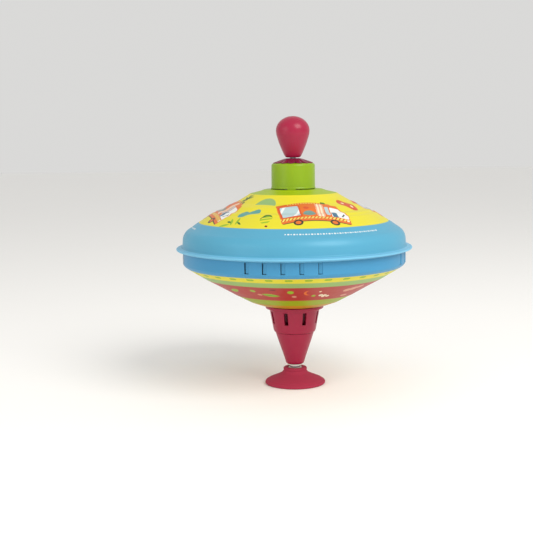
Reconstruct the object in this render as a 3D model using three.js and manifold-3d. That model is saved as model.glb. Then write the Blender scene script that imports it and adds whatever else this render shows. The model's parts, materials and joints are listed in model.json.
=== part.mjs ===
// A humming spinning top: a tin body that turns on a suction foot, driven by a pumped spiral rod.
// Millimetres, +Z up. The origin is on the axis, at the level the suction foot stands on.

import * as THREE from 'three';
import { ConvexGeometry } from 'three/addons/geometries/ConvexGeometry.js';
import { mergeVertices } from 'three/addons/utils/BufferGeometryUtils.js';
import Module from 'manifold-3d';

const wasm = await Module();
wasm.setup();

// ---- driving dimensions ----

const GAP = 0.3;              // left between pieces that touch
const TURN_SEGMENTS = 48;     // facets of a large turned piece
const SMALL_SEGMENTS = 32;    // facets of a small turned piece
const FINE_SEGMENTS = 12;     // facets of a rivet or pin

const TIN = 0.5;              // sheet thickness of both shells

const RIM_RADIUS = 100;
const RIM_Z = 118.35;
const RIM_BEND = 1.05;        // half the thickness of the folded rim
const FOLD_END = [95.1, 115.7];

const PLATEAU_Z = 167.5;
const PLATEAU_RADIUS = 24.5;
const DOME_RINGS = [
  [27.5, 166.3], [37.2, 164], [47.6, 157.5], [54.6, 154.9], [60.3, 151.1], [64.8, 150.1], [67, 148.5], [69.6, 147.6],
];
const SHOULDER = { r: 83.6, z: 125.4, bend: 10.8 };
const UPPER_WALL_FOOT = [94.9, 120.6];
const FLANGE_ROOT = [95.6, 119.8];
const BODY_HOLE_RADIUS = 6.4;

const LOWER_WALL_RADIUS = 94.5;
const LOWER_WALL_TOP = 117.4;
const LOWER_WALL_FOOT = 106.4;
const LOWER_CONE = [[93.7, 104.5], [91.3, 102.7], [76.8, 93.7], [57.2, 82.8], [37.9, 72.5], [25.8, 68.9]];
const SEAT_Z = 68.6;
const SEAT_HOLE_RADIUS = 15;

const LOUVRE = { groups: 4, perGroup: 5, pitch: 8.8, centre: -96.8, width: 3.6, bottom: 106.4, top: 115.6 };

const HOUSING = { bottom: 45.5, top: 68.3, footRadius: 17.9, headRadius: 21.4, wall: 1.6 };
const HUB = { inner: 9.2, outer: 10.6 };
const FLANGE = { radius: 24.9, bottom: 65.8 };
const HOUSING_SLOTS = { count: 8, start: 22.5, width: 3.5, bottom: 53.2, top: 63.9 };
const SCREWS = { count: 4, start: 45, circle: 22.6, radius: 1.1, headRadius: 1.8, bottom: 66.7 };

const NOZZLE = { bottom: 17.5, top: 45.2, tipRadius: 7.8, neckRadius: 15.2, neckZ: 40.5, topRadius: 16.4 };
const NOZZLE_FLOOR = 3;
const NOZZLE_WALL = 1.6;

const PLATE = { radius: 24.3, bottom: 69.5, top: 71 };
const REEDS = { count: 4, start: 0, inner: 9, length: 13, width: 2.6, thickness: 0.3 };
const WINDOW = { inner: 11.6, outer: 21.4, width: 3.4 };

const TUBE = { inner: 6.4, outer: 7.1, top: 166.5 };

const NECK = { radius: 18.45, bottom: 168.1, top: 189, wall: 1.2, bend: 2.5, lipRadius: 18.8, lipTop: 169.4 };
const NECK_HOLE = { radius: 9.2, top: 190 };
const TABS = { count: 4, start: -96.4, width: 7, bottom: 165.7 };
const PETALS = { count: 14, inner: 11.2, outer: 16.3, start: -97.4, steps: 6 };
const COLLAR_OUTLINE = [[8.8, 190.4], [12, 190], [16.3, 189.4], [16.3, 190], [12.8, 191.3], [5.9, 193.3]];
const COLLAR_SPIGOT = { radius: 8.8, bottom: 186.4 };
const ROD_HOLE_RADIUS = 3.7;

const CLUTCH = { inner: 9, outer: 16.6, bottom: 167.8, face: 171.5, teeth: 12, toothHeight: 1.8 };
const DRIVER = { radius: 15.6, discHeight: 2, hubRadius: 7.4, top: 184.6 };

const ROD = { width: 6, thickness: 1.7, bottom: 50, top: 214, lead: 50, step: 1.25 };
const ROD_CLEARANCE = 0.35;
const ROD_STOP = { radius: 5.2, bottom: 47.5 };
const KNOB = { bottom: 194, footRadius: 4.9, headRadius: 14.2, headZ: 216.5, top: 228.6 };
const KNOB_FLANK = [[6.3, 194.4], [7.3, 195.9], [9.4, 200.5], [11.3, 205.1], [12.8, 209.7], [13.9, 213.4]];
const KNOB_SOCKET = { radius: 3.6, top: 215.5 };
const ROD_PIN = { radius: 0.8, z: 208, halfLength: 5.4 };

const CUP = { radius: 26, lip: 3.5, edge: 2.2, bossRadius: 9.6, top: 14, holeRadius: 6.2, floor: 5.2 };
const SOCKET = { radius: 5.9, bottom: 5.5, top: 13.7, floor: 7.5 };
const PIN = { radius: 2, bottom: 7.8, top: 33, shoulderRadius: 4.2, shoulderTop: 15.8 };
const PIN_CLEARANCE = 0.3;
const WASHER = { radius: 6.5, bottom: 16.1, top: 17 };
const BUSH = { radius: 4.8, flangeRadius: 6, top: 27 };
const CLIP = { radius: 4.6, bottom: 27.4, top: 28.3 };

// ---- finishes ----

const finish = (color, roughness, metalness) => ({ color, roughness, metalness });

const TIN_UPPER = finish(0xe6dc3c, 0.3, 0.1);
const TIN_LOWER = finish(0xb7413f, 0.3, 0.1);
const MAGENTA = finish(0xae2340, 0.35, 0);
const LIME = finish(0x96be1e, 0.4, 0);
const RUBBER = finish(0xa81f3c, 0.7, 0);
const STEEL = finish(0xc3c5c8, 0.3, 1);
const BRASS = finish(0xcaa24a, 0.3, 1);
const NYLON = finish(0xe8e6dc, 0.5, 0);

// ---- shape helpers ----

const radians = THREE.MathUtils.degToRad;

// Points on an ellipse about (centreR, centreZ), from one angle to another in degrees.
function arc(centreR, centreZ, radiusR, radiusZ, from, to, steps) {
  const points = [];
  for (let i = 0; i <= steps; i += 1) {
    const angle = radians(from + (to - from) * i / steps);
    points.push([centreR + radiusR * Math.cos(angle), centreZ + radiusZ * Math.sin(angle)]);
  }
  return points;
}

// The line that runs beside an outline, a constant distance to its right.
function besideLine(outline, distance) {
  const normals = [];
  for (let i = 0; i + 1 < outline.length; i += 1) {
    const along = new THREE.Vector2(outline[i + 1][0] - outline[i][0], outline[i + 1][1] - outline[i][1]);
    along.normalize();
    normals.push(new THREE.Vector2(along.y, -along.x));
  }
  return outline.map(([r, z], i) => {
    const before = normals[Math.max(i - 1, 0)];
    const after = normals[Math.min(i, normals.length - 1)];
    const mitre = before.clone().add(after);
    mitre.multiplyScalar(distance / (1 + before.dot(after)));
    return [r + mitre.x, z + mitre.y];
  });
}

// A sheet-metal outline: the outer line, and back along its inner face.
function sheetOutline(outerLine, thickness) {
  return [...outerLine, ...besideLine(outerLine, thickness).reverse()];
}

// A solid of revolution about Z. An outline that doesn't start on the axis is closed on itself.
function revolve(outline, segments = TURN_SEGMENTS) {
  const points = outline.map(([r, z]) => new THREE.Vector2(r, z));
  if (THREE.ShapeUtils.area(points) < 0) points.reverse();
  if (points[0].x > 0) points.push(points[0].clone());
  return new THREE.LatheGeometry(points, segments).rotateX(Math.PI / 2);
}

function ring(inner, outer, bottom, top, segments = TURN_SEGMENTS) {
  return revolve([[inner, bottom], [outer, bottom], [outer, top], [inner, top]], segments);
}

function rod(radius, bottom, top, segments = FINE_SEGMENTS) {
  return revolve([[0, bottom], [radius, bottom], [radius, top], [0, top]], segments);
}

// A box from one radius to another, centred on the +X direction.
function radialBox(inner, outer, width, bottom, top) {
  const box = new THREE.BoxGeometry(outer - inner, width, top - bottom);
  return box.translate((inner + outer) / 2, 0, (bottom + top) / 2);
}

// Copies of a geometry at equal angles about Z. The start angle is in degrees.
function around(count, start, geometry) {
  const copies = [];
  for (let i = 0; i < count; i += 1) {
    copies.push(geometry.clone().rotateZ(radians(start + 360 * i / count)));
  }
  return copies;
}

function solidOf(geometry) {
  const bare = geometry.clone();
  bare.deleteAttribute('normal');
  bare.deleteAttribute('uv');
  const merged = mergeVertices(bare, 1e-4);
  const mesh = new wasm.Mesh({
    numProp: 3,
    vertProperties: new Float32Array(merged.attributes.position.array),
    triVerts: new Uint32Array(merged.index.array),
  });
  mesh.merge();
  return new wasm.Manifold(mesh);
}

function geometryOf(solid) {
  const mesh = solid.getMesh();
  const geometry = new THREE.BufferGeometry();
  geometry.setAttribute('position', new THREE.BufferAttribute(mesh.vertProperties, 3));
  geometry.setIndex(new THREE.BufferAttribute(mesh.triVerts, 1));
  return geometry;
}

function cut(geometry, cutters) {
  return geometryOf(cutters.reduce((solid, cutter) => solid.subtract(solidOf(cutter)), solidOf(geometry)));
}

function join(geometries) {
  const [first, ...rest] = geometries.map(solidOf);
  return geometryOf(rest.reduce((solid, next) => solid.add(next), first));
}

// A flat strip twisted about Z with the rod's lead, standing between two levels.
function twistedStrip(width, thickness, bottom, top) {
  const sections = Math.ceil((top - bottom) / ROD.step);
  const corners = [[-1, -1], [0, -1], [1, -1], [1, 1], [0, 1], [-1, 1]];
  const sides = corners.length;
  const positions = [];
  for (let i = 0; i <= sections; i += 1) {
    const z = bottom + (top - bottom) * i / sections;
    const twist = 2 * Math.PI * z / ROD.lead;
    for (const [x, y] of corners) {
      const corner = new THREE.Vector2(x * width / 2, y * thickness / 2);
      corner.rotateAround(new THREE.Vector2(), twist);
      positions.push(corner.x, corner.y, z);
    }
  }
  const faces = [];
  const last = sides * sections;
  for (let corner = 1; corner + 1 < sides; corner += 1) {
    faces.push(0, corner + 1, corner, last, last + corner, last + corner + 1);
  }
  for (let i = 0; i < sections; i += 1) {
    for (let side = 0; side < sides; side += 1) {
      const low = sides * i + side;
      const lowNext = sides * i + (side + 1) % sides;
      faces.push(low, lowNext, lowNext + sides, low, lowNext + sides, low + sides);
    }
  }
  const geometry = new THREE.BufferGeometry();
  geometry.setAttribute('position', new THREE.Float32BufferAttribute(positions, 3));
  geometry.setIndex(faces);
  return geometry;
}

// One ramp-shaped ratchet tooth between two radii, rising with angle from a level by a height.
function ratchetTooth(inner, outer, base, root, height) {
  const span = 2 * Math.PI / CLUTCH.teeth;
  const points = [];
  for (const radius of [inner, outer]) {
    for (const [angle, z] of [[0, root], [0, base], [span, root], [span, base + height]]) {
      points.push(new THREE.Vector3(radius * Math.cos(angle), radius * Math.sin(angle), z));
    }
  }
  return new ConvexGeometry(points);
}

const group = new THREE.Group();

function addPart(name, geometry, { color, roughness, metalness }) {
  const material = new THREE.MeshStandardMaterial({ color, roughness, metalness });
  const mesh = new THREE.Mesh(geometry, material);
  mesh.name = name;
  group.add(mesh);
}

// Numbered nodes, such as reed_1 and reed_2.
function addParts(name, geometries, look) {
  geometries.forEach((geometry, i) => addPart(`${name}_${i + 1}`, geometry, look));
}

// ---- the foot ----

function suctionCup() {
  const under = 3.6;
  const outline = [
    [0, under], [10, 3.2], [18, 1.9], [CUP.radius - CUP.lip, 0], [CUP.radius, 0], [CUP.radius, CUP.edge],
    [24.4, 3.4], [17, 6.2], [11.5, 8.8], [CUP.bossRadius, 11.5], [CUP.bossRadius, CUP.top],
    [CUP.holeRadius, CUP.top], [CUP.holeRadius, CUP.floor], [0, CUP.floor],
  ];
  return revolve(outline);
}

function pivotSocket() {
  const bore = PIN.radius + PIN_CLEARANCE;
  const outline = [
    [0, SOCKET.bottom], [SOCKET.radius, SOCKET.bottom], [SOCKET.radius, SOCKET.top],
    [bore, SOCKET.top], [bore, SOCKET.floor], [0, SOCKET.floor],
  ];
  return revolve(outline, SMALL_SEGMENTS);
}

function pivotPin() {
  const shoulderBottom = CUP.top + GAP;
  const chamfer = 0.8;
  const outline = [
    [0, PIN.bottom], [PIN.radius, PIN.bottom], [PIN.radius, shoulderBottom],
    [PIN.shoulderRadius, shoulderBottom], [PIN.shoulderRadius, PIN.shoulderTop], [PIN.radius, PIN.shoulderTop],
    [PIN.radius, PIN.top - chamfer], [PIN.radius - chamfer, PIN.top], [0, PIN.top],
  ];
  return revolve(outline, SMALL_SEGMENTS);
}

function pinRing({ radius, bottom, top }) {
  return ring(PIN.radius + PIN_CLEARANCE, radius, bottom, top, SMALL_SEGMENTS);
}

// ---- the body of the top ----

function nozzle() {
  const hole = BUSH.radius + GAP;
  const floorTop = NOZZLE.bottom + NOZZLE_FLOOR;
  const outline = [
    [hole, NOZZLE.bottom], [NOZZLE.tipRadius, NOZZLE.bottom], [NOZZLE.neckRadius, NOZZLE.neckZ],
    [NOZZLE.topRadius, NOZZLE.top], [NOZZLE.topRadius - NOZZLE_WALL, NOZZLE.top],
    [NOZZLE.neckRadius - NOZZLE_WALL, NOZZLE.neckZ], [NOZZLE.tipRadius - 1, floorTop], [hole, floorTop],
  ];
  return revolve(outline);
}

function pivotBush() {
  const bore = PIN.radius + PIN_CLEARANCE;
  const flangeBottom = NOZZLE.bottom + NOZZLE_FLOOR + GAP;
  const flangeTop = flangeBottom + 1.2;
  const outline = [
    [bore, NOZZLE.bottom], [BUSH.radius, NOZZLE.bottom], [BUSH.radius, flangeBottom],
    [BUSH.flangeRadius, flangeBottom], [BUSH.flangeRadius, flangeTop], [BUSH.radius, flangeTop],
    [BUSH.radius, BUSH.top], [bore, BUSH.top],
  ];
  return revolve(outline, SMALL_SEGMENTS);
}

function screwHoles(bottom, top) {
  const { count, start, circle, radius } = SCREWS;
  return around(count, start, rod(radius + GAP, bottom, top).translate(circle, 0, 0));
}

// A slotted cup with a hub inside, which the rod's end stop passes through.
function airHousing() {
  const { bottom, top, footRadius, headRadius, wall } = HOUSING;
  const floor = bottom + wall;
  const outline = [
    [HUB.inner, bottom], [footRadius, bottom], [headRadius, FLANGE.bottom], [FLANGE.radius, FLANGE.bottom],
    [FLANGE.radius, top], [headRadius - wall, top], [footRadius - wall, floor],
    [HUB.outer, floor], [HUB.outer, top], [HUB.inner, top],
  ];
  const slots = HOUSING_SLOTS;
  const slot = radialBox(HUB.outer + 1, FLANGE.radius, slots.width, slots.bottom, slots.top);
  const cutters = [
    ...around(slots.count, slots.start, slot),
    ...screwHoles(SCREWS.bottom - GAP, top + 1),
  ];
  return cut(revolve(outline), cutters);
}

function lowerShell() {
  const flangeZ = RIM_Z - TIN / 2;
  const outerLine = [
    [RIM_RADIUS - RIM_BEND - GAP, flangeZ], [LOWER_WALL_RADIUS + 0.6, flangeZ],
    [LOWER_WALL_RADIUS, LOWER_WALL_TOP], [LOWER_WALL_RADIUS, LOWER_WALL_FOOT],
    ...LOWER_CONE, [PLATEAU_RADIUS, SEAT_Z], [SEAT_HOLE_RADIUS, SEAT_Z],
  ];
  const louvre = radialBox(LOWER_WALL_RADIUS - 4, LOWER_WALL_RADIUS + 0.4, LOUVRE.width, LOUVRE.bottom, LOUVRE.top);
  const cutters = screwHoles(SEAT_Z - 1, SEAT_Z + TIN + 1);
  for (let i = 0; i < LOUVRE.perGroup; i += 1) {
    const angle = LOUVRE.centre + (i - (LOUVRE.perGroup - 1) / 2) * LOUVRE.pitch;
    cutters.push(...around(LOUVRE.groups, angle, louvre));
  }
  return cut(revolve(sheetOutline(outerLine, TIN)), cutters);
}

function upperShell() {
  const slopeAngle = 57.5;
  const rimCentre = RIM_RADIUS - RIM_BEND;
  const outerLine = [
    [BODY_HOLE_RADIUS, PLATEAU_Z], [PLATEAU_RADIUS, PLATEAU_Z], ...DOME_RINGS,
    ...arc(SHOULDER.r, SHOULDER.z, SHOULDER.bend, SHOULDER.bend, slopeAngle, 4, 5),
    UPPER_WALL_FOOT, FLANGE_ROOT,
    ...arc(rimCentre, RIM_Z, RIM_BEND, RIM_BEND, 90, -90, 6), FOLD_END,
  ];
  const slot = radialBox(NECK.radius - NECK.wall - GAP, NECK.lipRadius + GAP, TABS.width + 2 * GAP,
    PLATEAU_Z - 2, PLATEAU_Z + 2);
  return cut(revolve(sheetOutline(outerLine, TIN)), around(TABS.count, TABS.start, slot));
}

function soundPlate() {
  const { radius, bottom, top } = PLATE;
  const window = radialBox(WINDOW.inner, WINDOW.outer, WINDOW.width, bottom - 1, top + 1);
  const rivetHole = rod(1, bottom - 1, top + 1).translate(REEDS.inner + 1.2, 0, 0);
  const cutters = [
    ...around(REEDS.count, REEDS.start, window),
    ...around(REEDS.count, REEDS.start, rivetHole),
    ...screwHoles(bottom - 1, top + 1),
  ];
  return cut(ring(BODY_HOLE_RADIUS, radius, bottom, top), cutters);
}

function reed() {
  const bottom = PLATE.top + GAP;
  const top = bottom + REEDS.thickness;
  const tongue = radialBox(REEDS.inner - 0.2, REEDS.inner + REEDS.length, REEDS.width, bottom, top);
  return cut(tongue, [rod(1, bottom - 1, top + 1).translate(REEDS.inner + 1.2, 0, 0)]);
}

function reedRivet() {
  const shankTop = PLATE.top + 2 * GAP + REEDS.thickness;
  const outline = [
    [0, PLATE.bottom + 0.1], [0.7, PLATE.bottom + 0.1], [0.7, shankTop], [1.2, shankTop],
    [1.2, shankTop + 0.5], [0, shankTop + 0.7],
  ];
  return revolve(outline, FINE_SEGMENTS).translate(REEDS.inner + 1.2, 0, 0);
}

// Driven from above through the plate and the lower shell, into the housing's flange.
function housingScrew() {
  const { radius, headRadius, circle, bottom } = SCREWS;
  const headBottom = PLATE.top + GAP;
  const outline = [
    [0, bottom], [radius, bottom], [radius, headBottom], [headRadius, headBottom],
    [headRadius, headBottom + 0.8], [0, headBottom + 1.1],
  ];
  return revolve(outline, FINE_SEGMENTS).translate(circle, 0, 0);
}

// ---- the neck, its clutch and its cap ----

function neck() {
  const { radius, bottom, top, wall, bend, lipRadius, lipTop } = NECK;
  const outline = [
    [radius - wall, bottom], [lipRadius, bottom], [lipRadius, lipTop - 0.4], [radius, lipTop],
    ...arc(radius - bend, top - bend, bend, bend, 0, 90, 5),
    [NECK_HOLE.radius, NECK_HOLE.top], [NECK_HOLE.radius, NECK_HOLE.top - wall], [radius - wall, top - bend - 0.4],
  ];
  const tabInner = radius - wall;
  const tabTop = bottom + 1;
  const leg = radialBox(tabInner, lipRadius, TABS.width, TABS.bottom, tabTop);
  const foldedEnd = radialBox(tabInner - 3, tabInner + 0.1, TABS.width, TABS.bottom, TABS.bottom + 0.9);
  const legs = around(TABS.count, TABS.start, leg);
  const foldedEnds = around(TABS.count, TABS.start, foldedEnd);
  return join([revolve(outline), ...legs, ...foldedEnds]);
}

function clutchRing() {
  const { inner, outer, bottom, face, teeth, toothHeight } = CLUTCH;
  const body = ring(inner, outer, bottom, face);
  const tooth = ratchetTooth(inner + 0.4, outer - 0.4, face, face - 0.5, toothHeight);
  return join([body, ...around(teeth, 0, tooth)]);
}

function driver() {
  const { radius, discHeight, hubRadius, top } = DRIVER;
  const toothTip = CLUTCH.face + CLUTCH.toothHeight + GAP;
  const discBottom = toothTip + CLUTCH.toothHeight;
  const discTop = discBottom + discHeight;
  const outline = [
    [0, discBottom], [radius, discBottom], [radius, discTop], [hubRadius, discTop], [hubRadius, top], [0, top],
  ];
  const tooth = ratchetTooth(CLUTCH.inner + 0.6, CLUTCH.outer - 1.4, discBottom, discBottom + 0.5, -CLUTCH.toothHeight);
  const body = join([revolve(outline), ...around(CLUTCH.teeth, 0, tooth)]);
  const clearance = 2 * ROD_CLEARANCE;
  return cut(body, [twistedStrip(ROD.width + clearance, ROD.thickness + clearance, discBottom - 5, top + 5)]);
}

// A cone whose edge is cut into petals that hang over the neck.
function collar() {
  const petals = new THREE.Shape();
  const steps = PETALS.count * PETALS.steps;
  for (let i = 0; i < steps; i += 1) {
    const angle = 2 * Math.PI * i / steps;
    const reach = Math.abs(Math.cos(PETALS.count / 2 * angle));
    const radius = PETALS.inner + (PETALS.outer - PETALS.inner) * reach;
    petals.lineTo(radius * Math.cos(angle), radius * Math.sin(angle));
  }
  const prism = new THREE.ExtrudeGeometry(petals, { depth: KNOB.top, bevelEnabled: false });
  const { radius, bottom } = COLLAR_SPIGOT;
  const top = COLLAR_OUTLINE.at(-1)[1];
  const cap = revolve([[0, bottom], [radius, bottom], ...COLLAR_OUTLINE, [0, top]]);
  const scalloped = solidOf(cap).intersect(solidOf(prism.rotateZ(radians(PETALS.start))));
  return cut(geometryOf(scalloped), [rod(ROD_HOLE_RADIUS, 0, KNOB.top, SMALL_SEGMENTS)]);
}

// ---- the plunger ----

function crossPinHole() {
  const length = 2 * (ROD_PIN.halfLength + GAP);
  const hole = new THREE.CylinderGeometry(ROD_PIN.radius + GAP, ROD_PIN.radius + GAP, length, FINE_SEGMENTS);
  return hole.rotateZ(Math.PI / 2).translate(0, 0, ROD_PIN.z);
}

function knob() {
  const headHeight = KNOB.top - KNOB.headZ;
  const outline = [
    [KNOB_SOCKET.radius, KNOB.bottom], [KNOB.footRadius, KNOB.bottom], ...KNOB_FLANK,
    ...arc(0, KNOB.headZ, KNOB.headRadius, headHeight, 0, 90, 8),
  ];
  outline.at(-1)[0] = 0;
  outline.push([0, KNOB_SOCKET.top], [KNOB_SOCKET.radius, KNOB_SOCKET.top]);
  return cut(revolve(outline.reverse()), [crossPinHole()]);
}

function spiralRod() {
  return cut(twistedStrip(ROD.width, ROD.thickness, ROD.bottom, ROD.top), [crossPinHole()]);
}

function rodPin() {
  const { radius, z, halfLength } = ROD_PIN;
  const pin = new THREE.CylinderGeometry(radius, radius, 2 * halfLength, FINE_SEGMENTS);
  return pin.rotateZ(Math.PI / 2).translate(0, 0, z);
}

// ---- assembly ----

addPart('suction_cup', suctionCup(), RUBBER);
addPart('pivot_socket', pivotSocket(), NYLON);
addPart('pivot_pin', pivotPin(), STEEL);
addPart('thrust_washer', pinRing(WASHER), NYLON);
addPart('pin_clip', pinRing(CLIP), STEEL);

addPart('nozzle', nozzle(), MAGENTA);
addPart('pivot_bush', pivotBush(), BRASS);
addPart('air_housing', airHousing(), MAGENTA);
addPart('lower_shell', lowerShell(), TIN_LOWER);
addPart('upper_shell', upperShell(), TIN_UPPER);
addPart('sound_plate', soundPlate(), STEEL);
addParts('reed', around(REEDS.count, REEDS.start, reed()), BRASS);
addParts('reed_rivet', around(REEDS.count, REEDS.start, reedRivet()), BRASS);
addParts('housing_screw', around(SCREWS.count, SCREWS.start, housingScrew()), STEEL);
addPart('guide_tube', ring(TUBE.inner, TUBE.outer, PLATE.top + GAP, TUBE.top, SMALL_SEGMENTS), STEEL);
addPart('neck', neck(), LIME);
addPart('clutch_ring', clutchRing(), NYLON);
addPart('collar', collar(), MAGENTA);

addPart('driver', driver(), NYLON);

addPart('knob', knob(), MAGENTA);
addPart('spiral_rod', spiralRod(), STEEL);
addPart('rod_pin', rodPin(), STEEL);
addPart('rod_stop', rod(ROD_STOP.radius, ROD_STOP.bottom, ROD.bottom - GAP, SMALL_SEGMENTS), STEEL);

export default group;
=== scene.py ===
import json
import math

import bmesh
import bpy
from mathutils import Matrix, Vector


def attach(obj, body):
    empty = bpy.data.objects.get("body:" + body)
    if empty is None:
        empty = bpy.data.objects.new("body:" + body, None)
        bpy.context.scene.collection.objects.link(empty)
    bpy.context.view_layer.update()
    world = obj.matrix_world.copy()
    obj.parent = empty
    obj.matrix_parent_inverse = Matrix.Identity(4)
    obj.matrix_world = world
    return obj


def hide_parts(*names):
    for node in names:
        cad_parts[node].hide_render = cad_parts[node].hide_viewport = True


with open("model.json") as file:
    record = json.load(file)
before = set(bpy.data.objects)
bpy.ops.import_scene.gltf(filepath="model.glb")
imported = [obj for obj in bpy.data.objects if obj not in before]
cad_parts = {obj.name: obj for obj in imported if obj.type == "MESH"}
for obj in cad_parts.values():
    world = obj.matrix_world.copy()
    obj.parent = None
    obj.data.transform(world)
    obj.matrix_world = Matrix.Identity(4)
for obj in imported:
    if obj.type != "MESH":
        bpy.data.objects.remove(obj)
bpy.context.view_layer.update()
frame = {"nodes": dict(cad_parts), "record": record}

# A humming tin spinning top. Lengths are in millimetres until a mesh is made, and then in metres.

MM = 0.001

COLUMNS = 288               # steps round a large turned piece
SMALL_COLUMNS = 192         # steps round a small one
FINE_COLUMNS = 160          # steps round the nozzle and the knob
BEND_STEPS = 6              # steps in a rounded corner
SHARP_ANGLE = math.radians(38)

# Radii of the printed bands, on the upper and the lower shell, and of the rim's painted highlight
RING_EDGE = 36.5
SKY_EDGE = 80.3
# Past this radius the flange and rim get a painted highlight: a paler blue that stands for the light caught
# on the flange's top.
RIM_HIGHLIGHT_EDGE = 95.8
LOWER_EDGES = [92, 84.8, 77.1, 52.1, 40.7]
LOWER_CORNER_Z = 103        # the lowest level of the blue wall's rounded corner

TIN = 0.4                   # sheet thickness of both shells
RIM_RADIUS = 99.98
RIM_Z = 118.2
RIM_BEND = 0.85
WALL_RADIUS = 94.5

LOUVRES = {"groups": 4, "per_group": 5, "pitch": 8.8, "centre": -6.8}
LOUVRE_WIDTH = 3.6
LOUVRE_BOTTOM = 106.6
LOUVRE_TOP = 115.5
# How far across a louvre each column of its tongue lies, and how deep in millimetres.
# The first is the window's edge, past the open slit. The last is the hinge.
TONGUE = [(0, 0), (0.14, 1.0), (0.4, 0.85), (0.68, 0.7), (0.9, 0.55), (1, 0)]
TONGUE_TOP_GAP = 0.15
TONGUE_FOOT_GAP = 0.4

NECK_TABS = {
    "count": 4, "start": -6.4, "inner": 17.3, "outer": 18.78, "width": 7, "bottom": 165.8, "top": 168.8,
}
TAB_FOLD = {"inner": 14.3, "outer": 17.35, "top": 166.7}
PETALS = {"count": 14, "start": -7.4, "root": 9, "inner": 12.2, "outer": 16.9, "fullness": 0.6, "rise": 0.8}
PETAL_COLUMNS = 20
HOUSING_SLOTS = {
    "count": 8, "start": 22.5, "inner": 12, "outer": 26, "width": 3.5, "bottom": 53.2, "top": 63.9,
}
SLOT_BEVEL = 0.45
KNOB_HEAD = {"radius": 14.18, "z": 216.5, "top": 228.59}
ROD_LEAD = 50
ROD_WIDTH = 6
ROD_THICKNESS = 1.7
ROD_EDGE = 0.25             # how much is taken off the strip's edges
ROD_BOTTOM = 50
ROD_TOP = 214

# The printed row of dashes and dots, and the ring of green dashes. Centres are in degrees.
MARKS = {"repeats": 3, "centre": 20.8, "radius": 86.1, "length": 83, "pitch": 4.6}
DASHES = {"repeats": 36, "centre": -4.6, "radius": 89}

# The camera stands in front and looks down a little. Metres and degrees.
CAMERA = {"place": (-0.0236, -0.8585, 0.21), "lens": 68.35, "pitch": -7.2, "roll": -0.78}
FLOOR_REACH = 6
FLOOR_DROP = 0.0002         # keeps the floor clear of the foot's lip


# ---- outlines ----

def bent(points):
    """A line through (radius, height, bend) points, with each inner corner rounded over its bend length."""
    line = [Vector(points[0][:2])]
    for i in range(1, len(points) - 1):
        corner = Vector(points[i][:2])
        bend = points[i][2] if len(points[i]) > 2 else 0
        before = Vector(points[i - 1][:2]) - corner
        after = Vector(points[i + 1][:2]) - corner
        reach = min(bend, before.length * 0.48, after.length * 0.48)
        if reach <= 0:
            line.append(corner)
            continue
        start = corner + before.normalized() * reach
        end = corner + after.normalized() * reach
        for step in range(BEND_STEPS + 1):
            s = step / BEND_STEPS
            line.append(start * (1 - s) ** 2 + corner * 2 * s * (1 - s) + end * s ** 2)
    line.append(Vector(points[-1][:2]))
    return [(p.x, p.y) for p in line]


def arc(centre_r, centre_z, radius_r, radius_z, start, end, steps):
    """Points on an ellipse, from one angle to another in degrees."""
    points = []
    for step in range(steps + 1):
        angle = math.radians(start + (end - start) * step / steps)
        points.append((centre_r + radius_r * math.cos(angle), centre_z + radius_z * math.sin(angle)))
    return points


def with_radii(line, radii):
    """The line, with a point added wherever it crosses one of the given radii."""
    made = [line[0]]
    for (r0, z0), (r1, z1) in zip(line, line[1:]):
        low, high = min(r0, r1), max(r0, r1)
        crossed = [r for r in radii if low + 0.02 < r < high - 0.02]
        for r in sorted(crossed, reverse=r1 < r0):
            made.append((r, z0 + (z1 - z0) * (r - r0) / (r1 - r0)))
        made.append((r1, z1))
    return made


# ---- meshes ----

def point_at(radius, angle, height):
    """A vertex in metres. Angle 0 is the front, -Y, and it grows towards +X."""
    return Vector((radius * math.sin(angle), -radius * math.cos(angle), height)) * MM


def even_angles(columns):
    return [2 * math.pi * i / columns for i in range(columns)]


def sweep_round(bm, line, angles, closed=False):
    """Turns a line of (radius, height) about the axis. Returns the grid of vertices, one row a point."""
    rows = []
    for radius, height in line:
        if radius < 1e-6:
            rows.append([bm.verts.new(point_at(0, 0, height))] * len(angles))
        else:
            rows.append([bm.verts.new(point_at(radius, angle, height)) for angle in angles])
    pairs = list(zip(rows, rows[1:]))
    if closed:
        pairs.append((rows[-1], rows[0]))
    for upper, lower in pairs:
        for i in range(len(angles)):
            j = (i + 1) % len(angles)
            corners = list(dict.fromkeys((upper[i], upper[j], lower[j], lower[i])))
            bm.faces.new(corners)
    return rows


def finished(name, bm, materials, body, replaces=()):
    """Makes an object of a bmesh, smooth but for its sharp corners, riding on a body."""
    mesh = bpy.data.meshes.new(name)
    bm.to_mesh(mesh)
    bm.free()
    for material in materials:
        mesh.materials.append(material)
    piece = bpy.data.objects.new(name, mesh)
    bpy.context.scene.collection.objects.link(piece)
    smooth(mesh)
    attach(piece, body)
    if replaces:
        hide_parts(*replaces)
    return piece


def smooth(mesh):
    mesh.polygons.foreach_set("use_smooth", [True] * len(mesh.polygons))
    mesh.set_sharp_from_angle(angle=SHARP_ANGLE)


def settle_modifiers(piece):
    """Replaces a piece's mesh by what its modifiers make of it."""
    graph = bpy.context.evaluated_depsgraph_get()
    made = bpy.data.meshes.new_from_object(piece.evaluated_get(graph))
    piece.modifiers.clear()
    piece.data = made
    smooth(made)


def give_thickness(piece, thickness, inner_slot):
    """Turns an open surface into sheet, thickened away from its normals."""
    solidify = piece.modifiers.new("sheet", "SOLIDIFY")
    solidify.thickness = thickness * MM
    solidify.offset = -1
    solidify.use_even_offset = True
    solidify.material_offset = inner_slot
    solidify.material_offset_rim = inner_slot
    settle_modifiers(piece)


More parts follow.
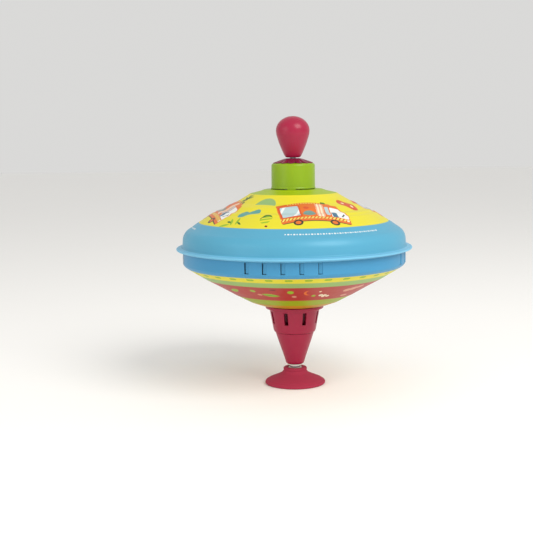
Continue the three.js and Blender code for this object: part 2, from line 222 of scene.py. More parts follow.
def outline_piece(name, outline, material, body, columns=COLUMNS, replaces=()):
    """A turned solid. The outline is closed on itself unless it starts and ends on the axis."""
    bm = bmesh.new()
    on_axis = outline[0][0] < 1e-6 and outline[-1][0] < 1e-6
    sweep_round(bm, outline, even_angles(columns), closed=not on_axis)
    bmesh.ops.recalc_face_normals(bm, faces=bm.faces)
    return finished(name, bm, [material], body, replaces)


def add_block(bm, angle, inner, outer, width, bottom, top):
    """A box that reaches outwards at an angle about the axis."""
    size = Vector((width, outer - inner, top - bottom)) * MM
    centre = Vector((0, -(inner + outer) / 2, (bottom + top) / 2)) * MM
    turn = Matrix.Rotation(angle, 4, "Z")
    placed = turn @ Matrix.Translation(centre) @ Matrix.Diagonal(size).to_4x4()
    bmesh.ops.create_cube(bm, size=1, matrix=placed)


# ---- material nodes ----

def linear(red, green, blue):
    """A colour given as eight-bit sRGB values, as a linear RGBA colour."""
    channels = []
    for value in (red, green, blue):
        v = value / 255
        channels.append(v / 12.92 if v <= 0.04045 else ((v + 0.055) / 1.055) ** 2.4)
    return (*channels, 1)


class Nodes:
    """Builds a material's nodes. An input is either a number, a vector, or another node's output."""

    def __init__(self, name):
        self.material = bpy.data.materials.new(name)
        self.material.use_nodes = True
        self.tree = self.material.node_tree
        self.shader = self.tree.nodes["Principled BSDF"]
        self.place = self.add("ShaderNodeTexCoord").outputs["Object"]

    def add(self, kind, **settings):
        node = self.tree.nodes.new(kind)
        for key, value in settings.items():
            setattr(node, key, value)
        return node

    def feed(self, socket, value):
        if isinstance(value, bpy.types.NodeSocket):
            self.tree.links.new(value, socket)
        else:
            socket.default_value = value[:3] if socket.type == "VECTOR" else value

    def maths(self, operation, *values):
        node = self.add("ShaderNodeMath", operation=operation)
        for socket, value in zip(node.inputs, values):
            self.feed(socket, value)
        return node.outputs[0]

    def vector(self, operation, *values):
        node = self.add("ShaderNodeVectorMath", operation=operation)
        for socket, value in zip(node.inputs, values):
            self.feed(socket, value)
        return node.outputs["Value" if operation in ("LENGTH", "DOT_PRODUCT") else "Vector"]

    def mix(self, factor, below, above):
        node = self.add("ShaderNodeMix", data_type="RGBA")
        self.feed(node.inputs[0], factor)
        self.feed(node.inputs[6], below)
        self.feed(node.inputs[7], above)
        return node.outputs[2]

    def noise(self, scale, detail=2.0, stretch=(1, 1, 1)):
        node = self.add("ShaderNodeTexNoise")
        node.inputs["Scale"].default_value = scale
        node.inputs["Detail"].default_value = detail
        self.feed(node.inputs["Vector"], self.vector("MULTIPLY", self.place, stretch))
        return node.outputs["Fac"]

    def spread(self, value, low, high):
        """The value, moved from 0..1 to low..high."""
        node = self.add("ShaderNodeMapRange")
        self.feed(node.inputs["Value"], value)
        node.inputs["To Min"].default_value = low
        node.inputs["To Max"].default_value = high
        return node.outputs["Result"]

    def set(self, **values):
        for key, value in values.items():
            self.shader.inputs[key.replace("_", " ")].default_value = value

    def colour(self, value, variation=0.05, scale=60):
        """Sends a colour to the shader, a little lighter and darker from place to place."""
        shade = self.spread(self.noise(scale), 1 - variation, 1 + variation)
        node = self.add("ShaderNodeVectorMath", operation="SCALE")
        self.feed(node.inputs[0], value)
        self.feed(node.inputs["Scale"], shade)
        self.tree.links.new(node.outputs[0], self.shader.inputs["Base Color"])

    def roughness(self, low, high, scale):
        self.tree.links.new(self.spread(self.noise(scale, 4), low, high), self.shader.inputs["Roughness"])

    def bump(self, height, strength, distance):
        node = self.add("ShaderNodeBump")
        node.inputs["Strength"].default_value = strength
        node.inputs["Distance"].default_value = distance
        self.tree.links.new(height, node.inputs["Height"])
        self.tree.links.new(node.outputs["Normal"], self.shader.inputs["Normal"])


class Print:
    """Printed shapes, in millimetres, on a plan of the body laid out about a spoke at some angle.

    The whole print is moved by a distance towards the axis."""

    def __init__(self, nodes, ground, inwards=0):
        self.nodes = nodes
        self.colour = ground
        parts = nodes.add("ShaderNodeSeparateXYZ")
        nodes.feed(parts.inputs[0], nodes.place)
        x = nodes.maths("MULTIPLY", parts.outputs["X"], 1 / MM)
        y = nodes.maths("MULTIPLY", parts.outputs["Y"], -1 / MM)
        self.angle = nodes.maths("ARCTAN2", x, y)
        squares = nodes.maths("ADD", nodes.maths("MULTIPLY", x, x), nodes.maths("MULTIPLY", y, y))
        self.radius = nodes.maths("ADD", nodes.maths("SQRT", squares), inwards)
        self.plan = None

    def folded(self, centre, repeats):
        half = math.pi / repeats
        turned = self.nodes.maths("SUBTRACT", self.angle, math.radians(centre))
        return self.nodes.maths("WRAP", turned, half, -half)

    def joined(self, across, out):
        node = self.nodes.add("ShaderNodeCombineXYZ")
        self.nodes.feed(node.inputs["X"], across)
        self.nodes.feed(node.inputs["Y"], out)
        return node.outputs[0]

    def flat_plan(self, centre, repeats):
        """Lays the shapes that follow on a flat plan: x along the tangent, y outwards from the axis."""
        local = self.folded(centre, repeats)
        across = self.nodes.maths("MULTIPLY", self.radius, self.nodes.maths("SINE", local))
        out = self.nodes.maths("MULTIPLY", self.radius, self.nodes.maths("COSINE", local))
        self.plan = self.joined(across, out)

    def band_plan(self, centre, repeats, radius, pitch=None):
        """Lays the shapes that follow along a circle: x along it, y outwards from it."""
        across = self.nodes.maths("MULTIPLY", self.folded(centre, repeats), radius)
        if pitch:
            across = self.nodes.maths("WRAP", across, pitch / 2, -pitch / 2)
        self.plan = self.joined(across, self.nodes.maths("SUBTRACT", self.radius, radius))

    def from_centre(self, x, y, turn):
        moved = self.nodes.vector("SUBTRACT", self.plan, (x, y, 0))
        if not turn:
            return moved
        node = self.nodes.add("ShaderNodeVectorRotate", rotation_type="Z_AXIS")
        self.nodes.feed(node.inputs["Vector"], moved)
        node.inputs["Angle"].default_value = -math.radians(turn)
        return node.outputs[0]

    def disc(self, x, y, half_width, half_height=None, turn=0):
        size = (half_width, half_height or half_width, 1)
        scaled = self.nodes.vector("DIVIDE", self.from_centre(x, y, turn), size)
        return self.nodes.maths("LESS_THAN", self.nodes.vector("LENGTH", scaled), 1)

    def box(self, x0, y0, x1, y1, corner=0.6, turn=0):
        half = ((x1 - x0) / 2 - corner, (y1 - y0) / 2 - corner, 0)
        reach = self.nodes.vector("ABSOLUTE", self.from_centre((x0 + x1) / 2, (y0 + y1) / 2, turn))
        outside = self.nodes.vector("MAXIMUM", self.nodes.vector("SUBTRACT", reach, half), (0, 0, 0))
        return self.nodes.maths("LESS_THAN", self.nodes.vector("LENGTH", outside), corner)

    def pill(self, x, y, length, width, turn=0):
        half = length / 2
        return self.box(x - half, y - width / 2, x + half, y + width / 2, width / 2 - 0.01, turn)

    def leaf(self, x, y, length, width, turn=0):
        """Where two equal discs overlap."""
        offset = (length ** 2 - width ** 2) / (4 * width)
        radius = offset + width / 2
        aside = math.radians(turn + 90)
        dx, dy = offset * math.cos(aside), offset * math.sin(aside)
        return self.both(self.disc(x + dx, y + dy, radius), self.disc(x - dx, y - dy, radius))

    def beyond(self, x, y, angle):
        """The half of the plan on one side of a line through a point, at an angle in degrees."""
        facing = math.radians(angle)
        along = self.nodes.vector("DOT_PRODUCT", self.plan, (math.cos(facing), math.sin(facing), 0))
        return self.nodes.maths("GREATER_THAN", along, x * math.cos(facing) + y * math.sin(facing))

    def stripes(self, pitch, width, angle):
        facing = math.radians(angle)
        along = self.nodes.vector("DOT_PRODUCT", self.plan, (math.cos(facing), math.sin(facing), 0))
        folded = self.nodes.maths("WRAP", along, pitch, 0)
        return self.nodes.maths("LESS_THAN", folded, width)

    def both(self, *masks):
        made = masks[0]
        for mask in masks[1:]:
            made = self.nodes.maths("MULTIPLY", made, mask)
        return made

    def either(self, *masks):
        made = masks[0]
        for mask in masks[1:]:
            made = self.nodes.maths("MAXIMUM", made, mask)
        return made

    def without(self, mask, other):
        return self.nodes.maths("MULTIPLY", mask, self.nodes.maths("SUBTRACT", 1, other))

    def paint(self, mask, colour):
        self.colour = self.nodes.mix(mask, self.colour, colour)


# ---- colours ----

YELLOW = linear(220, 209, 41)
PALE_YELLOW = linear(225, 212, 100)
RING_GREEN = linear(155, 182, 9)
BLUE = linear(83, 161, 192)
# A paler blue for the flange and rim: a painted highlight, standing for the light caught on the flange's top.
RIM_HIGHLIGHT_BLUE = linear(116, 186, 218)
DEEP_BLUE = linear(66, 144, 187)
GREY_GREEN = linear(145, 180, 100)
CLOUD_GREEN = linear(139, 175, 109)
RED = linear(173, 51, 43)
GREEN = linear(152, 170, 9)
ORANGE_BROWN = linear(193, 139, 18)
MAGENTA = linear(161, 26, 62)
DARK_MAGENTA = linear(120, 23, 55)
LIME = linear(135, 168, 9)

ORANGE = linear(217, 109, 40)
DEEP_ORANGE = linear(205, 81, 36)
WINDOW = linear(175, 199, 202)
TEAL = linear(90, 152, 146)
SLATE_GREEN = linear(112, 146, 140)
SLATE = linear(72, 112, 136)
PINK = linear(227, 164, 137)
CREAM = linear(232, 219, 187)
DARK = linear(58, 54, 44)
DARK_GREEN = linear(70, 112, 40)
DASH_GREEN = linear(140, 176, 30)
LEAF_GREEN = linear(143, 181, 35)
WHITE = linear(227, 231, 229)
SALMON = linear(210, 148, 121)
MAROON = linear(120, 34, 34)


# ---- materials ----

def litho(nodes, colour):
    """Printed tin under a thin satin varnish, with a fine grain and a faint ripple in the sheet."""
    nodes.set(Metallic=0.04, Coat_Weight=0.06, Coat_Roughness=0.2, Specular_IOR_Level=0.28)
    nodes.colour(colour, 0.03, 45)
    nodes.roughness(0.36, 0.48, 220)
    ripple = nodes.noise(38, 1)
    grain = nodes.spread(nodes.noise(2400, 2), 0, 0.12)
    nodes.bump(nodes.maths("ADD", ripple, grain), 0.1, 0.0003)
    return nodes.material


def plain_litho(name, colour):
    return litho(Nodes(name), colour)


def bare_tin():
    nodes = Nodes("bare_tin")
    nodes.set(Metallic=1.0)
    nodes.colour(linear(196, 198, 200), 0.06, 90)
    nodes.roughness(0.3, 0.48, 160)
    nodes.bump(nodes.noise(900, 3, (1, 1, 6)), 0.08, 0.0002)
    return nodes.material


def plastic(name, colour, low, high, coat):
    nodes = Nodes(name)
    nodes.set(Coat_Weight=coat, Coat_Roughness=0.15, Specular_IOR_Level=0.32)
    nodes.set(Subsurface_Weight=0.06, Subsurface_Radius=(0.004, 0.002, 0.002))
    nodes.colour(colour, 0.05, 70)
    nodes.roughness(low, high, 260)
    flow = nodes.spread(nodes.noise(60, 2, (1, 1, 0.3)), 0, 1)
    grain = nodes.spread(nodes.noise(1800, 2), 0, 0.3)
    nodes.bump(nodes.maths("ADD", flow, grain), 0.1, 0.0003)
    return nodes.material


def metal(name, colour, low, high, stretch):
    nodes = Nodes(name)
    nodes.set(Metallic=1.0)
    nodes.colour(colour, 0.06, 120)
    nodes.roughness(low, high, 240)
    nodes.bump(nodes.noise(1400, 3, stretch), 0.12, 0.0002)
    return nodes.material


def paint_van(art):
    """A delivery van with its wheels outwards, seen from the side. A seat and a wheel show in the cab."""
    cab = art.without(art.box(4, 48.5, 32.2, 72.6, 2), art.beyond(25.7, 50.5, -33))
    body = art.either(art.box(-24.5, 46.5, 20, 72.6, 2), cab)
    art.paint(body, ORANGE)
    art.paint(art.box(-24.6, 46.2, 13, 48.2, 1), DEEP_ORANGE)
    art.paint(art.both(art.box(-16, 46.6, 12, 47.7, 0.3), art.stripes(2.2, 1.2, 0)), PALE_YELLOW)
    art.paint(art.box(-23.6, 49.2, -6.2, 66, 1.2), DEEP_ORANGE)
    pane = art.box(-22.2, 50.6, -7.6, 64.8, 1)
    art.paint(pane, WINDOW)
    art.paint(art.both(pane, art.stripes(13, 2.2, 35)), WHITE)
    art.paint(art.disc(0, 61.6, 5.1, 3.8), SLATE_GREEN)
    art.paint(art.disc(-1.2, 54.2, 2.2, 1.9), DEEP_ORANGE)
    door = art.box(6.4, 48.2, 12.8, 66.4, 0.8, 4)
    art.paint(door, CREAM)
    art.paint(art.both(door, art.stripes(2.6, 1.1, 4)), PINK)
    art.paint(art.box(13.8, 52.4, 17, 64.2, 0.8), WINDOW)
    screen = art.without(art.box(18, 52.4, 31.6, 66.4, 1.2), art.beyond(25, 51.6, -33))
    art.paint(screen, WHITE)
    art.paint(art.both(screen, art.box(18.6, 58.4, 22.8, 69, 1.6, -8)), SLATE)
    art.paint(art.both(screen, art.pill(27.4, 62.6, 5.6, 1.2, -62)), DARK)
    skirt = art.both(body, art.box(-25, 66.8, 33, 69.6, 0.2))
    art.paint(skirt, PALE_YELLOW)
    art.paint(art.both(skirt, art.stripes(2.4, 1, 35)), DEEP_ORANGE)
    art.paint(art.both(body, art.box(-25, 71.9, 33, 73, 0.2)), DARK)
    art.paint(art.disc(30, 68.4, 1.1), CREAM)
    for x in (-11.4, 18.2):
        art.paint(art.disc(x, 73, 3.9, 3), DARK)
        art.paint(art.disc(x, 73, 2.3, 1.7), ORANGE)
    art.paint(art.box(12.4, 44.6, 16.4, 47, 0.8), DARK_GREEN)


def paint_sky(art):
    """A hill-shaped cloud, a long cloud and a balloon between the vans."""
    art.paint(art.without(art.disc(4.6, 50.2, 9.6, 9.4), art.beyond(4.6, 49.2, 87)), CLOUD_GREEN)
    art.paint(art.either(art.pill(-1.4, 62.6, 19, 5.6, -30), art.disc(-6, 62, 3.4, 2.8)), TEAL)
    ball = art.disc(18.4, 67.4, 4.8, 5.4)
    art.paint(ball, YELLOW)
    art.paint(art.both(ball, art.stripes(3.4, 1.5, 62)), LEAF_GREEN)
    art.paint(art.without(ball, art.disc(19.6, 70.2, 5.4, 6.8)), DARK_GREEN)
    art.paint(art.box(22, 73.6, 24.2, 75.2, 0.4), MAROON)


def paint_grove(art):
    """A palm high on the dome: fronds that spread from the head of a trunk."""
    art.paint(art.box(-0.6, 44, 0.6, 50, 0.3, 8), ORANGE_BROWN)
    for turn in (-62, -22, 22, 62, 100, 140):
        reach = math.radians(turn + 180)
        x, y = -0.4 + 3.2 * math.cos(reach), 43.4 + 3.2 * math.sin(reach)
        art.paint(art.leaf(x, y, 7, 1.7, turn), DARK_GREEN)
    art.paint(art.disc(0.2, 43.8, 1, 0.9), DARK)


def paint_sprig(art):
    """A trailing plant near the foot of the yellow band."""
    art.paint(art.leaf(-8, 78.4, 10, 2.4, -12), LEAF_GREEN)
    art.paint(art.leaf(-3, 74.6, 8, 2.4, 60), LEAF_GREEN)
    art.paint(art.leaf(-5.5, 74.8, 5, 1.8, 15), DARK_GREEN)
    art.paint(art.leaf(2.6, 73.4, 8, 2.2, 84), LEAF_GREEN)
    art.paint(art.leaf(5.6, 75.4, 6, 1.6, 24), DARK_GREEN)


def paint_board(art):
    """A red board with two pale dots."""
    art.paint(art.pill(-0.6, 53.2, 18, 10.4, 53), DEEP_ORANGE)
    art.paint(art.either(art.disc(-2.9, 50.1, 1.4), art.disc(1.8, 56.3, 1.4)), CREAM)


def upper_art():
    nodes = Nodes("upper_print")
    art = Print(nodes, YELLOW, inwards=0.4)
    art.flat_plan(10.3, 4)
    paint_van(art)
    art.flat_plan(-35, 2)
    paint_sky(art)
    art.flat_plan(-64.2, 2)
    paint_grove(art)
    art.flat_plan(-41, 2)
    paint_sprig(art)
    art.flat_plan(55, 2)
    paint_board(art)
    return litho(nodes, art.colour)


def upper_blue():
    """Blue with a row of pale dashes and dots."""
    nodes = Nodes("upper_blue")
    art = Print(nodes, BLUE)
    place = (MARKS["centre"], MARKS["repeats"], MARKS["radius"])
    half = MARKS["length"] / 2
    art.band_plan(*place)
    stretch = art.box(-half, -2, half, 2, 0.1)
    art.band_plan(*place, pitch=MARKS["pitch"])
    marks = art.either(art.box(-1.8, -0.6, -0.2, 0.6, 0.3), art.disc(1.2, 0, 0.55))
    art.paint(art.both(stretch, marks), WHITE)
    return litho(nodes, art.colour)


def dash_band():
    """Yellow with a ring of green dashes."""
    nodes = Nodes("dash_band")
    art = Print(nodes, YELLOW)
    art.band_plan(DASHES["centre"], DASHES["repeats"], DASHES["radius"])
    art.paint(art.pill(0.4, 0, 6.2, 2.5), DASH_GREEN)
    return litho(nodes, art.colour)


def red_art():
    """Leaves, dots and pale blossoms on red."""
    nodes = Nodes("red_print")
    art = Print(nodes, RED, inwards=-1.3)
    art.flat_plan(-19.4, 3)
    art.paint(art.leaf(0, 60.6, 14.5, 5, -12), LEAF_GREEN)
    art.paint(art.leaf(0, 60.6, 12, 0.9, -12), DARK_GREEN)
    art.paint(art.disc(-9, 60.4, 2, 1.4), SALMON)
    art.paint(art.disc(5, 71, 2.6, 1.3), MAROON)
    art.flat_plan(-46.6, 3)
    art.paint(art.leaf(-2, 65, 13, 5, 24), LEAF_GREEN)
    art.paint(art.disc(18.8, 65, 2.4, 2.2), LEAF_GREEN)
    art.flat_plan(0, 3)
    art.paint(art.disc(-4.8, 66.7, 2.6, 3), LEAF_GREEN)
    art.paint(art.disc(-1.8, 58.6, 1.9, 1.7), SALMON)
    art.paint(art.disc(13.3, 58.1, 1.7), LEAF_GREEN)
    art.paint(art.without(art.disc(9, 64.8, 3.4, 4.4), art.disc(10.6, 65, 3, 4)), ORANGE)
    petals = [(19, 57, 1.8), (22, 55.2, 1.8), (24.4, 52.4, 1.5), (20.8, 53.6, 1.4)]
    blossom = art.either(*[art.disc(*petal) for petal in petals])
    art.paint(blossom, CREAM)
    art.paint(art.disc(18.6, 64.6, 1.1), CREAM)
    art.flat_plan(42, 3)
    puffs = [(-4.6, 65.6, 4, 2.8), (0.6, 67.4, 4.2, 3.4), (6, 69.4, 3.6, 2.8)]
    art.paint(art.either(*[art.disc(*puff) for puff in puffs]), SALMON)
    art.paint(art.disc(1, 55.6, 3.4, 1.6), SALMON)
    return litho(nodes, art.colour)


# ---- the shells ----

def paint_bands(piece, band_at):
    """Gives each face the material slot of the band that its middle lies in: a printed band, or on the upper
    shell's flange and rim the painted highlight.
    """
    for polygon in piece.data.polygons:
        middle = polygon.center / MM
        polygon.material_index = band_at(math.hypot(middle.x, middle.y), middle.z)


def shell(name, bm, slots, band_at, replaced):
    """Makes printed sheet of an open surface whose lines run from the axis out, or back in underneath."""
    bmesh.ops.reverse_faces(bm, faces=bm.faces)
    piece = finished(name, bm, [*slots, bare_tin()], "top", [replaced])
    paint_bands(piece, band_at)
    give_thickness(piece, TIN, len(slots))


def upper_shell():
    """The stepped dome with its shoulder, flange and folded rim."""
    line = bent([
        (6.6, 167.5), (24.6, 167.5, 1.2), (27.5, 166.3, 1.2), (37.2, 164, 0.8), (38.6, 162.9, 0.7),
        (47.6, 157.5, 0.8), (54.6, 154.9, 0.8), (60.3, 151.1, 0.8), (64.8, 150.1, 0.8), (67, 148.5, 0.7),
        (69.6, 147.6, 0.7), (80.6, 140.3, 0.7), (82.2, 139.5, 0.7), (89.5, 134.4),
    ])
    line += arc(83.6, 125.4, 10.8, 10.8, 55, 4, 14)
    line += bent([(94.55, 123), (94.9, 120.4, 1), (95.9, 119.7, 0.6), (99, RIM_Z + RIM_BEND)])
    line += arc(RIM_RADIUS - RIM_BEND, RIM_Z, RIM_BEND, RIM_BEND, 80, -90, 12)
    line.append((95.2, 116.1))
    bands = [RING_EDGE, SKY_EDGE, RIM_HIGHLIGHT_EDGE]
    line = with_radii(line, bands)
    bm = bmesh.new()
    sweep_round(bm, line, even_angles(COLUMNS))
    # The last slot is the rim's painted highlight: the blue print made paler where light catches the flange.
    slots = [
        plain_litho("ring_green", RING_GREEN), upper_art(), upper_blue(), plain_litho("rim_painted_highlight", RIM_HIGHLIGHT_BLUE),
    ]

    def band_at(radius, _):
        return sum(radius > edge for edge in bands)

    shell("upper_shell_print", bm, slots, band_at, "upper_shell")


def louvre_angles():
    """The angle of each louvre's middle."""
    middles = []
    for group in range(LOUVRES["groups"]):
        for i in range(LOUVRES["per_group"]):
            aside = (i - (LOUVRES["per_group"] - 1) / 2) * LOUVRES["pitch"]
            middles.append(math.radians(LOUVRES["centre"] + 360 * group / LOUVRES["groups"] + aside))
    return middles


def louvred_columns():
    """Angles of the lower shell's columns, and the index of the first column of each louvre."""
    half = LOUVRE_WIDTH / 2 / WALL_RADIUS
    turn = 2 * math.pi
    middles = louvre_angles()
    marks = []
    for middle in middles:
        for across, _ in TONGUE:
            marks.append(((middle - half + 2 * half * across) % turn, across == 0))
    for angle in even_angles(COLUMNS):
        nearest = min(abs((angle - middle + math.pi) % turn - math.pi) for middle in middles)
        if nearest > half * 1.2:
            marks.append((angle, False))
    marks.sort()
    return [angle for angle, _ in marks], [i for i, (_, first) in enumerate(marks) if first]


def open_louvre(bm, rows, line, angles, span, first):
    """Cuts a window in the wall and bends its sheet in as a tongue, open at one side and at the foot."""
    for upper, lower in zip(span, span[1:]):
        for column in range(first, first + len(TONGUE) - 1):
            corners = {rows[row][column + step] for row in (upper, lower) for step in (0, 1)}
            doomed = [face for face in rows[upper][column].link_faces if set(face.verts) == corners]
            bmesh.ops.delete(bm, geom=doomed, context="FACES_ONLY")
    hinge = first + len(TONGUE) - 1
    grid = []
    for row in span:
        radius, height = line[row]
        if row == span[0]:
            height -= TONGUE_TOP_GAP
        if row == span[-1]:
            height += TONGUE_FOOT_GAP
        made = [
            bm.verts.new(point_at(radius - depth, angles[first + i], height))
            for i, (_, depth) in enumerate(TONGUE[1:-1], 1)
        ]
        grid.append([*made, rows[row][hinge]])
    for upper, lower in zip(grid, grid[1:]):
        for i in range(len(upper) - 1):
            bm.faces.new((upper[i], upper[i + 1], lower[i + 1], lower[i]))


def lower_shell():
    """The wall with its louvres, and the bowl below it."""
    line = bent([
        (98.4, RIM_Z), (95.3, RIM_Z, 0.4), (WALL_RADIUS, RIM_Z - 1, 0.5), (WALL_RADIUS, LOUVRE_TOP),
        (WALL_RADIUS, LOUVRE_BOTTOM), (WALL_RADIUS, 106.1, 1.2), (93.7, 104.5, 1), (91.3, 102.7, 1),
        (84.6, 98.4, 0.5), (83.8, 98.1, 0.5), (76.8, 93.7, 1), (66.5, 88.1, 1), (57.2, 82.8, 1.5),
        (51.4, 79.4, 0.5), (50.6, 79.1, 0.5), (38.4, 72.6, 0.6), (37.6, 72.4, 0.6), (30.5, 69.8, 1),
        (25.8, 68.9, 0.8), (24.5, 68.7, 0.3), (15, 68.7),
    ])
    line = with_radii(line, LOWER_EDGES)
    angles, firsts = louvred_columns()
    bm = bmesh.new()
    rows = sweep_round(bm, line, angles)
    wall_rows = [i for i, (radius, _) in enumerate(line) if radius > WALL_RADIUS - 0.1]
    edges = (LOUVRE_TOP, LOUVRE_BOTTOM)
    span = [min(wall_rows, key=lambda i: abs(line[i][1] - edge)) for edge in edges]
    for first in firsts:
        open_louvre(bm, rows, line, angles, span, first)
    slots = [
        plain_litho("lower_blue", DEEP_BLUE), dash_band(), plain_litho("grey_band", GREY_GREEN), red_art(),
        plain_litho("green_band", GREEN), plain_litho("orange_band", ORANGE_BROWN),
    ]

    def band_at(radius, height):
        return 0 if height > LOWER_CORNER_Z else sum(radius < edge for edge in LOWER_EDGES)

    shell("lower_shell_print", bm, slots, band_at, "lower_shell")


# ---- housing, nozzle and foot ----

def air_housing(material):
    """A slotted cup with a flange, and a hub inside."""
    outline = bent([
        (19.9, 68.3), (24.9, 68.3, 0.5), (24.9, 65.9, 0.5), (21.9, 65.8, 0.8), (21.4, 64.4, 0.6),
        (18.2, 47.2, 0.6), (17.5, 45.5, 0.5), (9.2, 45.5), (9.2, 68.3), (10.6, 68.3), (10.6, 47.1, 0.3),
        (16.4, 47.1, 0.4), (19.8, 65.6, 0.4), (19.9, 68.3),
    ])[:-1]
    piece = outline_piece(
        "air_housing_shell", outline, material, "top", SMALL_COLUMNS, ["air_housing"]
    )
    bm = bmesh.new()
    for i in range(HOUSING_SLOTS["count"]):
        angle = math.radians(HOUSING_SLOTS["start"] + 360 * i / HOUSING_SLOTS["count"])
        add_block(bm, angle, *[HOUSING_SLOTS[key] for key in ("inner", "outer", "width", "bottom", "top")])
    edges = list(bm.edges)
    bmesh.ops.bevel(bm, geom=edges, offset=SLOT_BEVEL * MM, segments=3, profile=0.5, affect="EDGES")
    cut_with(piece, bm)


def cut_with(piece, bm):
    """Cuts a bmesh's solids out of a piece."""
    mesh = bpy.data.meshes.new("cutter")
    bm.to_mesh(mesh)
    bm.free()
    cutter = bpy.data.objects.new("cutter", mesh)
    bpy.context.scene.collection.objects.link(cutter)
    boolean = piece.modifiers.new("cut", "BOOLEAN")
    boolean.operation = "DIFFERENCE"
    boolean.solver = "EXACT"
    boolean.object = cutter
    settle_modifiers(piece)
    bpy.data.objects.remove(cutter)


def nozzle(material):
    """The hollow cone below the housing, with a floor for the bush."""
    outline = bent([
        (5.1, 17.5), (7.4, 17.5, 0.5), (8, 18.6, 0.6), (9, 22.2, 0.4), (14.8, 39.4, 1), (15.2, 40.7, 0.7),
        (16.4, 44.4, 0.5), (16.4, 45.2, 0.3), (14.9, 45.2), (13.6, 41, 0.4), (6.9, 20.5), (5.1, 20.5),
        (5.1, 17.5),
    ])[:-1]
    outline_piece("nozzle_cone", outline, material, "top", FINE_COLUMNS, ["nozzle"])


def suction_cup(material):
    """The flared rubber foot, hollow underneath, with a boss for the socket."""
    outline = bent([
        (0, 3.6), (10, 3.2, 2), (18, 1.9, 2), (22.6, 0, 0.3), (25.6, 0, 0.5), (26, 1, 0.4), (25.4, 2.4, 0.8),
        (24.2, 2.6, 0.6), (23.4, 3.6, 0.7), (17, 6.3, 3), (11.6, 8.9, 2), (9.8, 11.4, 0.7), (10.1, 12, 0.3),
        (10.1, 13.2, 0.4), (9.4, 14, 0.4), (6.2, 14), (6.2, 5.2), (0, 5.2),
    ])
    outline_piece(
        "suction_cup_rubber", outline, material, "foot", SMALL_COLUMNS, ["suction_cup"]
    )


# ---- neck, collar and knob ----

def neck(material):
    """A sleeve with a lip round its foot, and tabs that go down through the shell and are folded in."""
    outline = bent([
        (17.25, 168.1), (18.6, 168.1, 0.2), (18.8, 168.4, 0.2), (18.7, 169, 0.3), (18.45, 169.5, 0.4),
        (18.4, 180, 0.5), (18.35, 189, 1.9), (9.2, 190, 0.3), (9.2, 188.8), (16.6, 187.8, 1),
        (17.25, 186, 0.5), (17.25, 168.1),
    ])[:-1]
    piece = outline_piece("neck_sleeve", outline, material, "top", SMALL_COLUMNS, ["neck"])
    bm = bmesh.new()
    bm.from_mesh(piece.data)
    for i in range(NECK_TABS["count"]):
        angle = math.radians(NECK_TABS["start"] + 360 * i / NECK_TABS["count"])
        for part in (NECK_TABS, {**NECK_TABS, **TAB_FOLD}):
            add_tab(bm, angle, *[part[key] for key in ("inner", "outer", "width", "bottom", "top")])
    bm.to_mesh(piece.data)
    bm.free()
    smooth(piece.data)


def add_tab(bm, angle, inner, outer, width, bottom, top):
    """A block that is curved about the axis."""
    half = width / 2 / outer
    steps = 6
    angles = [angle - half + 2 * half * step / steps for step in range(steps + 1)]
    rings = []
    for radius, height in ((inner, bottom), (outer, bottom), (outer, top), (inner, top)):
        rings.append([bm.verts.new(point_at(radius, a, height)) for a in angles])
    made = []
    for here, after in zip(rings, rings[1:] + rings[:1]):
        for i in range(steps):
            made.append(bm.faces.new((here[i], here[i + 1], after[i + 1], after[i])))
    made.append(bm.faces.new([ring[0] for ring in rings]))
    made.append(bm.faces.new([ring[-1] for ring in reversed(rings)]))
    bmesh.ops.recalc_face_normals(bm, faces=made)


def collar(material):
    """A cone whose edge is cut into petals that hang over the neck, and a spigot that goes into it."""
    profile = bent([
        (3.75, 193.1, 0.2), (5.7, 193.3, 0.5), (8, 192.8, 1), (12.8, 191.2, 1.5), (16.9, 189.7, 0.3),
        (16.9, 189.2, 0.2), (12.4, 190, 0.5), (8.8, 190.4), (8.8, 186.4), (3.75, 186.4),
    ])
    angles = even_angles(PETALS["count"] * PETAL_COLUMNS)
    bm = bmesh.new()
    rows = sweep_round(bm, profile, angles, closed=True)
    root, inner, outer = PETALS["root"], PETALS["inner"], PETALS["outer"]
    for (radius, _), row in zip(profile, rows):
        growth = min(1, max(0, (radius - root) / (outer - root)))
        for angle, vertex in zip(angles, row):
            turn = PETALS["count"] / 2 * (angle - math.radians(PETALS["start"]))
            reach = abs(math.cos(turn)) ** PETALS["fullness"]
            shrink = 1 - (outer - inner) * (1 - reach) * growth / radius
            vertex.co.x *= shrink
            vertex.co.y *= shrink
            vertex.co.z += PETALS["rise"] * (1 - reach) * growth ** 2 * MM
    bmesh.ops.recalc_face_normals(bm, faces=bm.faces)
    finished("collar_petals", bm, [material], "top", ["collar"])


def knob(material):
    """A tapered grip with a round head, bored from below for the rod."""
    radius, middle, top = KNOB_HEAD["radius"], KNOB_HEAD["z"], KNOB_HEAD["top"]
    outline = bent([
        (0, 215.5), (3.6, 215.5), (3.6, 194), (4.9, 194, 0.2), (6.3, 194.4, 0.8), (7.3, 195.9, 1.2),
        (9.4, 200.5, 2), (11.3, 205.1, 2), (12.8, 209.7, 2), (13.9, 213.4, 1.6), (radius, middle),
    ])
    outline += arc(0, middle, radius, top - middle, 8, 86, 20)
    outline.append((0, top))
    outline_piece("knob_grip", outline, material, "plunger", FINE_COLUMNS, ["knob"])


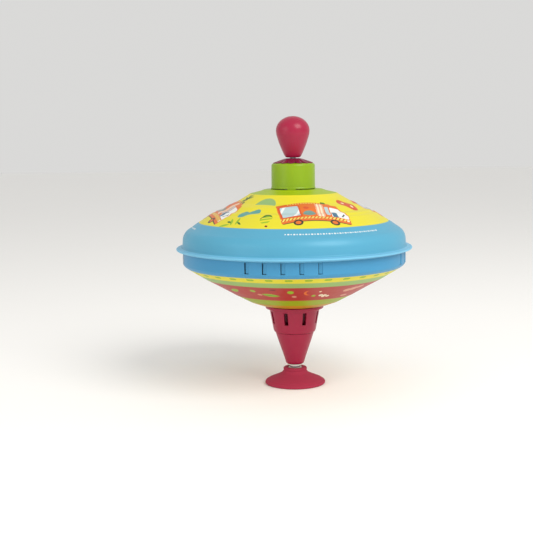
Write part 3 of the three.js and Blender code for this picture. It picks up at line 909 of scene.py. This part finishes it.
def spiral_rod(material):
    """A flat strip twisted about its length."""
    steps = 280
    w, t = ROD_WIDTH / 2, ROD_THICKNESS / 2
    section = [(-w + ROD_EDGE, -t), (0, -t), (w - ROD_EDGE, -t), (w, -t + ROD_EDGE), (w, t - ROD_EDGE)]
    section += [(-x, -y) for x, y in section]
    bm = bmesh.new()
    rows = []
    for step in range(steps + 1):
        z = ROD_BOTTOM + (ROD_TOP - ROD_BOTTOM) * step / steps
        twist = Matrix.Rotation(2 * math.pi * z / ROD_LEAD, 2)
        rows.append([bm.verts.new((*(twist @ Vector(corner) * MM), z * MM)) for corner in section])
    for lower, upper in zip(rows, rows[1:]):
        for i in range(len(section)):
            j = (i + 1) % len(section)
            bm.faces.new((lower[i], lower[j], upper[j], upper[i]))
    bm.faces.new(rows[0][::-1])
    bm.faces.new(rows[-1])
    finished("spiral_rod_strip", bm, [material], "plunger", ["spiral_rod"])


# ---- CAD pieces that stay ----

def refinish(materials):
    """Gives each CAD node whose slot has a finished material that material. Slots are named by the record."""
    slots = {row["node"]: row["material_slot"] for row in frame["record"]["subparts"]}
    for name, node in frame["nodes"].items():
        material = materials.get(slots[name])
        if material and node.type == "MESH":
            node.data.materials.clear()
            node.data.materials.append(material)


# ---- camera, light and floor ----

def camera():
    data = bpy.data.cameras.new("camera")
    data.sensor_width = 36
    data.lens = CAMERA["lens"]
    data.clip_end = 20
    made = bpy.data.objects.new("camera", data)
    tilt = Matrix.Rotation(math.radians(90 + CAMERA["pitch"]), 4, "X")
    roll = Matrix.Rotation(math.radians(CAMERA["roll"]), 4, "Z")
    made.matrix_world = Matrix.Translation(CAMERA["place"]) @ tilt @ roll
    bpy.context.scene.collection.objects.link(made)
    bpy.context.scene.camera = made


def soft_light(name, place, target, size, power, colour):
    data = bpy.data.lights.new(name, "AREA")
    data.shape = "DISK"
    data.size = size
    data.energy = power
    data.color = colour
    made = bpy.data.objects.new(name, data)
    made.location = place
    made.rotation_mode = "QUATERNION"
    made.rotation_quaternion = (Vector(target) - Vector(place)).to_track_quat("-Z", "Y")
    bpy.context.scene.collection.objects.link(made)


def studio():
    middle = (0, 0, 0.12)
    soft_light("key", (0.75, -0.9, 1.1), middle, 1.0, 15, (1, 0.98, 0.94))
    soft_light("fill", (-1.1, -0.8, 0.5), middle, 1.0, 3, (1, 0.97, 0.92))
    world = bpy.data.worlds.new("world")
    world.use_nodes = True
    world.node_tree.nodes["Background"].inputs["Color"].default_value = (1, 0.995, 0.98, 1)
    world.node_tree.nodes["Background"].inputs["Strength"].default_value = 0.7
    bpy.context.scene.world = world
    bpy.context.scene.view_settings.view_transform = "Standard"


def floor():
    nodes = Nodes("floor")
    nodes.colour(linear(254, 253, 251), 0.004, 6)
    nodes.roughness(0.8, 0.9, 8)
    bm = bmesh.new()
    bmesh.ops.create_grid(bm, x_segments=8, y_segments=8, size=FLOOR_REACH)
    mesh = bpy.data.meshes.new("floor")
    bm.to_mesh(mesh)
    bm.free()
    mesh.materials.append(nodes.material)
    made = bpy.data.objects.new("floor", mesh)
    bpy.context.scene.collection.objects.link(made)
    made.location.z = -FLOOR_DROP


camera()
studio()
floor()

magenta = plastic("magenta_plastic", MAGENTA, 0.28, 0.4, 0.12)
lime = plastic("lime_plastic", LIME, 0.3, 0.42, 0.08)
steel = metal("steel", linear(188, 190, 194), 0.2, 0.36, (1, 1, 8))

refinish({
    "magenta_plastic": magenta,
    "lime_plastic": lime,
    "nylon": plastic("nylon", linear(226, 222, 208), 0.4, 0.5, 0.05),
    "steel": steel,
    "brass": metal("brass", linear(206, 168, 84), 0.22, 0.4, (8, 1, 1)),
})

upper_shell()
lower_shell()
air_housing(magenta)
nozzle(magenta)
suction_cup(bpy.data.materials["foot_rubber"])      # the material that comes with the CAD
neck(lime)
collar(plastic("collar_plastic", DARK_MAGENTA, 0.3, 0.42, 0.1))
knob(magenta)
spiral_rod(steel)
